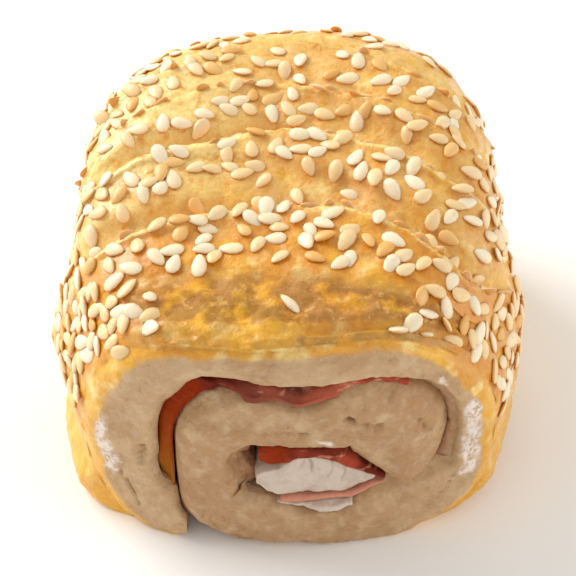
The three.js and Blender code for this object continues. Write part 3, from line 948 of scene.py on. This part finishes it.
# ---- Materials ----
def hex_colour(text):
    """A colour written as on a web page, in the linear values that the shaders take."""
    parts = [int(text[i : i + 2], 16) / 255 for i in (1, 3, 5)]
    linear = [c / 12.92 if c <= 0.04045 else ((c + 0.055) / 1.055) ** 2.4 for c in parts]
    return (*linear, 1.0)


class Value:
    """A number, colour or vector on its way through a material's nodes."""

    def __init__(self, nodes, socket):
        self.nodes, self.socket = nodes, socket

    def __add__(self, other):
        return self.nodes.maths("ADD", self, other)

    __radd__ = __add__

    def __sub__(self, other):
        return self.nodes.maths("SUBTRACT", self, other)

    def __rsub__(self, other):
        return self.nodes.maths("SUBTRACT", other, self)

    def __mul__(self, other):
        return self.nodes.maths("MULTIPLY", self, other)

    __rmul__ = __mul__

    def rise(self, low, high):
        """0 below low and 1 above high, with an even rise between."""
        settings = {"interpolation_type": "SMOOTHSTEP"}
        inputs = {"Value": self, "From Min": low, "From Max": high}
        if low < high:
            return self.nodes.add("ShaderNodeMapRange", settings, inputs)
        inputs.update({"From Min": high, "From Max": low})
        return 1.0 - self.nodes.add("ShaderNodeMapRange", settings, inputs)


class Nodes:
    """A material's nodes, and the ways to add to them."""

    def __init__(self, name):
        self.material = bpy.data.materials.new(name)
        self.material.use_nodes = True
        self.tree = self.material.node_tree
        self.tree.nodes.clear()
        self.place = self.add("ShaderNodeTexCoord", {}, {}, "Object")  # in metres

    def add(self, kind, settings, inputs, output=0):
        """Adds a node with its settings and its sockets' values or links."""
        node = self.tree.nodes.new(kind)
        for name, value in settings.items():
            setattr(node, name, value)
        for name, value in inputs.items():
            if isinstance(value, Value):
                self.tree.links.new(value.socket, node.inputs[name])
            else:
                node.inputs[name].default_value = value
        return Value(self, node.outputs[output])

    def maths(self, operation, first, second):
        """A Math node on two numbers."""
        return self.add("ShaderNodeMath", {"operation": operation}, {0: first, 1: second})

    def attributes(self, *names):
        """Some of the mesh's own numbers."""
        kind = "ShaderNodeAttribute"
        return [self.add(kind, {"attribute_name": name}, {}, "Fac") for name in names]

    def lumps(self, size, detail=3.0, rough=0.5, stretch=None, shift=0.0):
        """Noise from 0 to 1 with lumps about size millimetres wide."""
        vector = self.place
        if stretch or shift:
            inputs = {"Vector": vector, "Location": (shift, shift, shift)}
            inputs["Scale"] = stretch or (1.0, 1.0, 1.0)
            vector = self.add("ShaderNodeMapping", {}, inputs)
        inputs = {"Vector": vector, "Scale": 1.0 / (size * MM)}
        inputs.update({"Detail": detail, "Roughness": rough})
        return self.add("ShaderNodeTexNoise", {}, inputs)

    def blend(self, first, second, factor):
        """The colour first where factor is 0, and second where it is 1."""
        inputs = {0: factor, 6: first, 7: second}
        return self.add("ShaderNodeMix", {"data_type": "RGBA"}, inputs, 2)

    def over(self, colour, *coats):
        """The colour with coats over it in order, each given as its colour and its factor."""
        for coat, factor in coats:
            colour = self.blend(colour, coat, factor)
        return colour

    def shade(self, colour, by, factor=1.0):
        """The colour multiplied by the colour `by`."""
        settings = {"data_type": "RGBA", "blend_type": "MULTIPLY"}
        return self.add("ShaderNodeMix", settings, {0: factor, 6: colour, 7: by}, 2)

    def bump(self, height, millimetres, strength=1.0, normal=None):
        """A normal that makes height, from 0 to 1, stand out by that many millimetres."""
        inputs = {"Height": height, "Distance": millimetres * MM, "Strength": strength}
        if normal:
            inputs["Normal"] = normal
        return self.add("ShaderNodeBump", {}, inputs)

    def surface(self, **inputs):
        """Ends the material in a Principled BSDF with these inputs, and gives the material."""
        named = {name.replace("_", " "): value for name, value in inputs.items()}
        shader = self.add("ShaderNodeBsdfPrincipled", {}, named)
        output = self.tree.nodes.new("ShaderNodeOutputMaterial")
        self.tree.links.new(shader.socket, output.inputs["Surface"])
        return self.material


def dough_material(look):
    """Crumb on the cut ends and inside, and a baked, egg-washed crust outside."""
    n = Nodes("baked_dough")
    skin, bake, pale, torn = n.attributes("skin", "bake", "pale", "torn")
    glaze, shut, seeded, moist = n.attributes("glaze", "shut", "seeded", "moist")
    hollow, lip, wan, turns, across = n.attributes("hollow", "lip", "wan", "round", "across")
    height = n.add("ShaderNodeSeparateXYZ", {}, {"Vector": n.place}, "Z")
    broad, mottle, grain = n.lumps(11.0), n.lumps(3.2, 4.0), n.lumps(0.7, 4.0, 0.6)
    freckle, speck = n.lumps(1.4, 3.0, 0.6, shift=0.3), n.lumps(0.4, 3.0, 0.7, shift=0.5)

    crust = n.over(
        look.crust_gold,
        (look.crust_tan, broad.rise(0.4, 0.62)),
        (look.crust_light_and_highlight, mottle.rise(0.5, 0.7) * 0.85),
        (look.crust_gold, (1.0 - height.rise(0.006, 0.03)) * 0.6),
        (look.crust_brown, bake * mottle.rise(0.3, 0.7) * 0.75),
        # egg wash round the seeds, with painted contact shade under them
        (look.crust_seed_wash_and_shade, seeded.rise(0.15, 0.85) * 0.8),
        # painted light on the back left of the crust
        (look.crust_light_and_highlight, wan * freckle.rise(0.25, 0.55) * 0.75),
        # painted highlight along the crests of the lips
        (look.crust_light_and_highlight, lip.rise(0.6, 1.0) * freckle.rise(0.35, 0.6)),
        (look.crust_pale, pale * freckle.rise(0.3, 0.6) * 0.85),
        (look.crust_torn, torn * mottle.rise(0.32, 0.55) * 0.95),
        (look.crust_pale, torn * freckle.rise(0.55, 0.7) * 0.7),
        (look.crust_glaze, glaze * mottle.rise(0.3, 0.62)),
    )
    crust = n.shade(crust, (0.88, 0.78, 0.62, 1.0), grain.rise(0.58, 0.4) * 0.5)
    # fine pale specks, partly painted glints
    crust = n.blend(crust, look.crust_light_and_highlight, speck.rise(0.6, 0.75) * 0.35)

    layers = n.add("ShaderNodeCombineXYZ", {}, {"X": turns * 0.9, "Y": across * 1.6, "Z": 0.0})
    streaks = n.add("ShaderNodeTexNoise", {}, {"Vector": layers, "Scale": 2.2, "Detail": 3.0})
    # the inner turns' crumb: moister, and darker partly as painted shade of the recessed inner roll
    inner = turns.rise(3.9, OUTSIDE_FROM)
    crumb = n.over(
        look.crumb,
        (look.crumb_inner_and_shade, inner),
        (look.crumb_dark, streaks.rise(0.52, 0.75) * 0.3),
        (look.crumb_light, mottle.rise(0.46, 0.68) * 0.5),
        (look.crumb_dark, n.lumps(4.5, 3.0, shift=0.7).rise(0.48, 0.7) * 0.4),
        # painted shade at the bottom of the crumb's holes
        (look.crumb_deep_shade, hollow.rise(0.2, 0.8) * 0.85),
        # painted shade, with a pinker tone, where the turns swelled shut behind the cut in place of
        # the gaps
        (look.crumb_shut_shade, shut),
        # painted shade in the shut seams of the inner turns
        (look.crumb_deep_shade, shut * inner * freckle.rise(0.42, 0.6) * 0.8),
    )
    crumb = n.shade(crumb, (0.78, 0.66, 0.52, 1.0), freckle.rise(0.58, 0.72) * 0.6)
    crumb = n.shade(crumb, (0.8, 0.72, 0.62, 1.0), speck.rise(0.52, 0.68) * 0.35)
    crumb = n.over(
        crumb,
        # painted highlight: faint pale flecks of sheen over the crumb, and the moist streaks
        # painted near white
        (look.moist, freckle.rise(0.5, 0.3) * (1.0 - shut) * 0.12),
        (look.moist, moist * grain.rise(0.3, 0.55) * 0.85),
    )

    colour = n.blend(crumb, crust, skin)
    crust_gloss = 0.3 + 0.2 * freckle + 0.35 * torn + 0.25 * pale
    roughness = skin * crust_gloss + (1.0 - skin) * (0.66 - 0.4 * moist)
    relief = n.bump(freckle, 0.36, 0.8)
    relief = n.bump(grain, 0.14, 0.7, relief)
    relief = n.bump(speck, 0.08, 0.6, relief)
    return n.surface(
        Base_Color=colour,
        Roughness=roughness,
        Normal=relief,
        Coat_Weight=skin * 0.4 * (1.0 - pale * 0.7) * (1.0 - torn),
        Coat_Roughness=0.17,
        Subsurface_Weight=0.12,
        Subsurface_Radius=(1.0, 0.55, 0.25),
        Subsurface_Scale=0.0012,
        Specular_IOR_Level=0.4,
    )


def seed_material(name, body, tip, look):
    """A sesame seed's dry, waxy coat: darker and amber at its low rim as painted shade, and each
    seed a little different.
    """
    n = Nodes(name)
    tint, upper = n.attributes("tint", "upper")  # upper is about -0.5 to 0.5
    mottle = n.lumps(0.8, 2.0)
    colour = n.over(
        body,
        (tip, tint.rise(0.1, 0.9) * 0.9),
        (look.seed_shadow, mottle.rise(0.55, 0.8) * 0.2),
        # painted shade: the seed's low side, near the crust, darker and amber
        (look.seed_shadow, upper.rise(0.25, -0.15) * 0.8),
    )
    return n.surface(
        Base_Color=colour,
        Roughness=0.38 + 0.15 * mottle,
        Normal=n.bump(n.lumps(0.35, 2.0), 0.05, 0.4),
        Subsurface_Weight=0.25,
        Subsurface_Radius=(1.0, 0.7, 0.4),
        Subsurface_Scale=0.0006,
        Coat_Weight=0.15 + 0.1 * upper,
        Coat_Roughness=0.25,
    )


def ham_material(look):
    """Moist cooked ham: pink, with paler fat marbling, browned and leaner, darker stretches, and
    painted shade where it lies deep or folds.
    """
    n = Nodes("cooked_ham")
    marbling = n.lumps(2.6, 4.0, 0.6, stretch=(1.0, 0.5, 2.2))
    broad, grain = n.lumps(6.0, 2.0), n.lumps(0.6, 3.0)
    browned, amber, deep, fatty = n.attributes("browned", "amber", "deep", "fatty")
    colour = n.over(
        look.ham,
        (look.ham_lean_and_shade, broad.rise(0.42, 0.62) * 0.7),
        (look.ham_fat, marbling.rise(0.56, 0.7) * 0.75),
        (look.ham_fat, fatty),
        (look.ham_browned, browned * (0.75 + 0.25 * broad)),
        (look.ham_amber, amber * 0.85),
        # painted shade deep in the roll and in the fold
        (look.ham_lean_and_shade, deep * 0.8),
    )
    colour = n.shade(colour, (0.8, 0.68, 0.62, 1.0), grain.rise(0.5, 0.7) * 0.5)
    relief = n.bump(marbling, 0.3, 0.5)
    return n.surface(
        Base_Color=colour,
        Roughness=0.5 + 0.25 * grain,
        Normal=n.bump(grain, 0.1, 0.5, relief),
        Specular_IOR_Level=0.05,
        Subsurface_Weight=0.2,
        Subsurface_Radius=(1.0, 0.3, 0.18),
        Subsurface_Scale=0.0015,
    )


def cheese_material(look):
    """Cream cheese: white and dense, dull where it crumbled."""
    n = Nodes("white_cream_cheese")
    mottle, grain = n.lumps(2.2, 3.0), n.lumps(0.5, 4.0, 0.6)
    colour = n.blend(look.cheese, look.cheese_warm, mottle.rise(0.45, 0.75) * 0.7)
    relief = n.bump(mottle, 0.25, 0.5)
    return n.surface(
        Base_Color=colour,
        Roughness=0.45 + 0.2 * grain,
        Normal=n.bump(grain, 0.12, 0.6, relief),
        Subsurface_Weight=0.3,
        Subsurface_Radius=(1.0, 0.85, 0.65),
        Subsurface_Scale=0.0015,
    )


def floor_material(colour):
    """A plain pale floor."""
    n = Nodes("pale_floor")
    return n.surface(Base_Color=colour, Roughness=0.9)


# ---- Sizes and colours that a user would change ----
def colour_property(name, text, description):
    """A colour in the add-on's settings."""
    return bpy.props.FloatVectorProperty(
        name=name,
        description=description,
        default=hex_colour(text),
        size=4,
        min=0.0,
        max=1.0,
        subtype="COLOR",
    )


def length_property(name, millimetres, description):
    """A length in the add-on's settings."""
    return bpy.props.FloatProperty(
        name=name,
        description=description,
        default=millimetres * MM,
        min=0.0,
        subtype="DISTANCE",
        unit="LENGTH",
    )


def power_property(name, watts, description):
    """A light's power in the add-on's settings."""
    return bpy.props.FloatProperty(
        name=name, description=description, default=watts, min=0.0, unit="POWER"
    )


class RollDoughSettings(bpy.types.PropertyGroup):
    """The colours of the dough."""

    crust_gold: colour_property("Crust gold", "#f1b630", "Most of the crust")
    crust_tan: colour_property("Crust tan", "#e19c2a", "Duller patches of the crust")
    # Lighter patches of the crust, also used for painted light and painted highlight
    crust_light_and_highlight: colour_property("Crust light", "#ffe99a", "Lighter patches of the crust")
    crust_brown: colour_property("Crust brown", "#d28114", "Where the lips baked darkest")
    # Egg wash round the seeds, together with the painted shade that they cast
    crust_seed_wash_and_shade: colour_property("Crust amber", "#dc8c1a", "Egg wash that gathered round the seeds")
    crust_pale: colour_property("Crust pale", "#e7bd72", "Where the crust tore and stayed pale")
    crust_torn: colour_property("Torn crust", "#b37a36", "The torn slope over the near end")
    crust_glaze: colour_property("Egg wash", "#b58530", "Where egg wash lies thick and yellow")
    crumb: colour_property("Crumb", "#c8a47a", "Most of the crumb")
    # Crumb of the inner turns, darker partly as painted shade
    crumb_inner_and_shade: colour_property("Inner crumb", "#ba9268", "The crumb of the inner turns")
    crumb_light: colour_property("Crumb light", "#d8ba90", "Lighter patches of the crumb")
    crumb_dark: colour_property("Crumb dark", "#ae8152", "Darker patches of the crumb")
    # Painted shade, with a pinker tone, where two turns swelled together
    crumb_shut_shade: colour_property("Shut crumb", "#b27f5c", "Crumb where two turns swelled together")
    # Painted shade at the bottom of the crumb's holes and in shut seams
    crumb_deep_shade: colour_property("Crumb deep", "#8a5c2c", "The bottom of the crumb's holes")
    # Painted highlight on the moist streaks of the cut
    moist: colour_property("Moist crumb", "#fbeee6", "Moist streaks on the cut")


class RollSeedSettings(bpy.types.PropertyGroup):
    """The sizes and colours of the sesame seeds."""

    seed_length: length_property("Length", 2.9, "Length of a seed")
    seed_width: length_property("Width", 1.9, "Width of a seed")
    seed_thickness: length_property("Thickness", 0.8, "Thickness of a seed")
    toasted: bpy.props.FloatProperty(
        name="Toasted", description="Share of toasted seeds", default=0.16, min=0.0, max=1.0
    )
    draw: bpy.props.IntProperty(name="Draw", description="Which strewing of seeds", default=7)
    ivory: colour_property("Ivory", "#fbeaca", "Most of the seeds")
    ivory_warm: colour_property("Warm ivory", "#f3cf92", "Seeds that took some colour")
    toast: colour_property("Toast", "#f0c47c", "Toasted seeds")
    toast_dark: colour_property("Dark toast", "#e6ac58", "The most toasted seeds")
    # Painted shade on a seed's low rim, also used for its mottling
    seed_shadow: colour_property("Seed rim", "#dc9a45", "A seed's low rim, where egg wash sticks")


class RollHamSettings(bpy.types.PropertyGroup):
    """The colours of the ham."""

    ham: colour_property("Ham", "#a84a34", "Most of the ham")
    # Leaner ham, and the painted shade deep in the roll and in the fold
    ham_lean_and_shade: colour_property("Dark ham", "#4c0a05", "Leaner, darker ham")
    ham_fat: colour_property("Fat", "#dc9a80", "Fat marbling")
    ham_browned: colour_property("Browned ham", "#973000", "Where the ham dried and browned")
    ham_amber: colour_property("Amber ham", "#a56a1c", "Where light comes through thin ham")


class RollCheeseSettings(bpy.types.PropertyGroup):
    """The colours of the cream cheese."""

    cheese: colour_property("Cheese", "#d8c6b6", "Most of the cream cheese")
    cheese_warm: colour_property("Warm cheese", "#c4ad99", "Warmer patches of the cream cheese")


class RollStageSettings(bpy.types.PropertyGroup):
    """The floor and the light."""

    floor: colour_property("Floor", "#fbfaf8", "The floor")
    key_power: power_property("Key light", 12.0, "Power of the window light")
    fill_power: power_property("Side light", 2.2, "Power of the side light")
    sky: bpy.props.FloatProperty(
        name="Sky", description="Strength of the light from all round", default=0.68, min=0.0
    )


# ---- Operators: one for each group of pieces, and one for the stage ----
class ROLL_OT_dough(bpy.types.Operator):
    """Rolls up the dough, with its crust, slashes and cut ends."""

    bl_idname = "bread_roll.dough"
    bl_label = "Dough"

    def execute(self, context):
        finish_piece(build_dough(), dough_material(context.scene.roll_dough), "crust", "dough")
        return {"FINISHED"}


class ROLL_OT_seeds(bpy.types.Operator):
    """Strews sesame seeds over the crust."""

    bl_idname = "bread_roll.seeds"
    bl_label = "Sesame seeds"

    def execute(self, context):
        look = context.scene.roll_seeds
        plain, toasted = build_seeds(look, bpy.data.objects["dough_roll"])
        body = seed_material("ivory_sesame", look.ivory, look.ivory_warm, look)
        toast = seed_material("toasted_sesame", look.toast, look.toast_dark, look)
        finish_piece(plain, body, "crust")
        finish_piece(toasted, toast, "crust")
        return {"FINISHED"}


class ROLL_OT_ham(bpy.types.Operator):
    """Lays the three slices of ham."""

    bl_idname = "bread_roll.ham"
    bl_label = "Ham"

    def execute(self, context):
        material = ham_material(context.scene.roll_ham)
        finish_piece(build_ham_between_turns(), material, "ham", "ham_between_turns")
        finish_piece(build_ham_over_cheese(), material, "ham", "ham_over_cheese")
        finish_piece(build_ham_under_cheese(), material, "ham", "ham_under_cheese")
        return {"FINISHED"}


class ROLL_OT_cheese(bpy.types.Operator):
    """Lays the block of cream cheese and the smear under it."""

    bl_idname = "bread_roll.cheese"
    bl_label = "Cream cheese"

    def execute(self, context):
        material = cheese_material(context.scene.roll_cheese)
        finish_piece(build_cheese(), material, "cream_cheese", "cream_cheese")
        finish_piece(build_smear(), material, "cream_cheese", "cream_cheese_smear")
        return {"FINISHED"}


# In the roll's millimetres: a point inside the roll, how far the camera is from it, and how far
# over that point the middle of the picture is.
CAMERA_AIM = (0.0, 19.2, 22.0)
CAMERA_DISTANCE = 165.0
CAMERA_RISE = 4.156
CAMERA_PITCH = math.radians(40)
CAMERA_LENS = 79.4
CAMERA_SENSOR = 36.0
FLOOR_SIZE = 3.0  # this and the lights' sizes are in metres
LIGHT_AIM = (0.0, 0.0, 0.02)
LIGHTS = (
    # name, place in metres, width, height, which setting holds its power, colour
    ("window", (-0.75, 0.5, 0.6), 0.8, 0.6, "key_power", (1.0, 0.985, 0.96)),
    ("side", (0.8, -0.1, 0.3), 0.7, 0.6, "fill_power", (1.0, 0.97, 0.93)),
)


def add_light(name, where, width, height, power, colour):
    """A soft light that faces the roll."""
    deselect_all()
    toward = (Vector(LIGHT_AIM) - Vector(where)).to_track_quat("-Z", "Y").to_euler()
    bpy.ops.object.light_add(type="AREA", location=where, rotation=toward)
    light = bpy.context.object
    light.name = name
    light.data.shape = "RECTANGLE"
    light.data.size, light.data.size_y = width, height
    light.data.energy, light.data.color = power, colour


def build_stage(look):
    """A pale floor, soft light and the camera."""
    deselect_all()
    bpy.ops.mesh.primitive_plane_add(size=FLOOR_SIZE)
    floor = bpy.context.object
    floor.name = "floor"
    floor.data.materials.append(floor_material(look.floor))
    for name, where, width, height, power, colour in LIGHTS:
        add_light(name, where, width, height, getattr(look, power), colour)
    world = bpy.data.worlds.new("pale_room")
    world.use_nodes = True
    background = world.node_tree.nodes["Background"]
    background.inputs["Color"].default_value = (1.0, 0.99, 0.97, 1.0)
    background.inputs["Strength"].default_value = look.sky
    bpy.context.scene.world = world
    tilt = Euler((math.pi / 2 - CAMERA_PITCH, 0, 0))
    back = Vector((0.0, CAMERA_RISE, CAMERA_DISTANCE))
    back.rotate(tilt)
    where = (Vector(CAMERA_AIM) + back) * MM + ROLL_ZERO
    bpy.ops.object.camera_add(location=where, rotation=tilt)
    camera = bpy.context.object
    camera.data.lens, camera.data.sensor_width = CAMERA_LENS, CAMERA_SENSOR
    bpy.context.scene.camera = camera
    bpy.context.scene.view_settings.view_transform = "Standard"


class ROLL_OT_stage(bpy.types.Operator):
    """Sets up the floor, the light and the camera."""

    bl_idname = "bread_roll.stage"
    bl_label = "Stage"

    def execute(self, context):
        build_stage(context.scene.roll_stage)
        return {"FINISHED"}


class ROLL_PT_panel(bpy.types.Panel):
    """Lists the roll's pieces in the sidebar."""

    bl_idname = "ROLL_PT_panel"
    bl_label = "Ham and Cheese Roll"
    bl_space_type = "VIEW_3D"
    bl_region_type = "UI"
    bl_category = "Roll"

    def draw(self, context):
        for operator, name, group in STEPS:
            self.layout.operator(operator.bl_idname)
            for setting in group.__annotations__:
                self.layout.prop(getattr(context.scene, name), setting)


# Each operator in order, with its settings' name in the scene and their class.
STEPS = (
    (ROLL_OT_dough, "roll_dough", RollDoughSettings),
    (ROLL_OT_seeds, "roll_seeds", RollSeedSettings),
    (ROLL_OT_ham, "roll_ham", RollHamSettings),
    (ROLL_OT_cheese, "roll_cheese", RollCheeseSettings),
    (ROLL_OT_stage, "roll_stage", RollStageSettings),
)


def register():
    """Registers the settings, the operators and the panel."""
    for operator, name, group in STEPS:
        bpy.utils.register_class(group)
        setattr(bpy.types.Scene, name, bpy.props.PointerProperty(type=group))
        bpy.utils.register_class(operator)
    bpy.utils.register_class(ROLL_PT_panel)


def unregister():
    """Takes the panel, the operators and the settings away again."""
    bpy.utils.unregister_class(ROLL_PT_panel)
    for operator, name, group in reversed(STEPS):
        bpy.utils.unregister_class(operator)
        delattr(bpy.types.Scene, name)
        bpy.utils.unregister_class(group)


def main():
    """Builds the roll and its stage."""
    register()
    bpy.ops.bread_roll.dough()
    bpy.ops.bread_roll.seeds()
    bpy.ops.bread_roll.ham()
    bpy.ops.bread_roll.cheese()
    bpy.ops.bread_roll.stage()


if __name__ == "__main__":
    main()
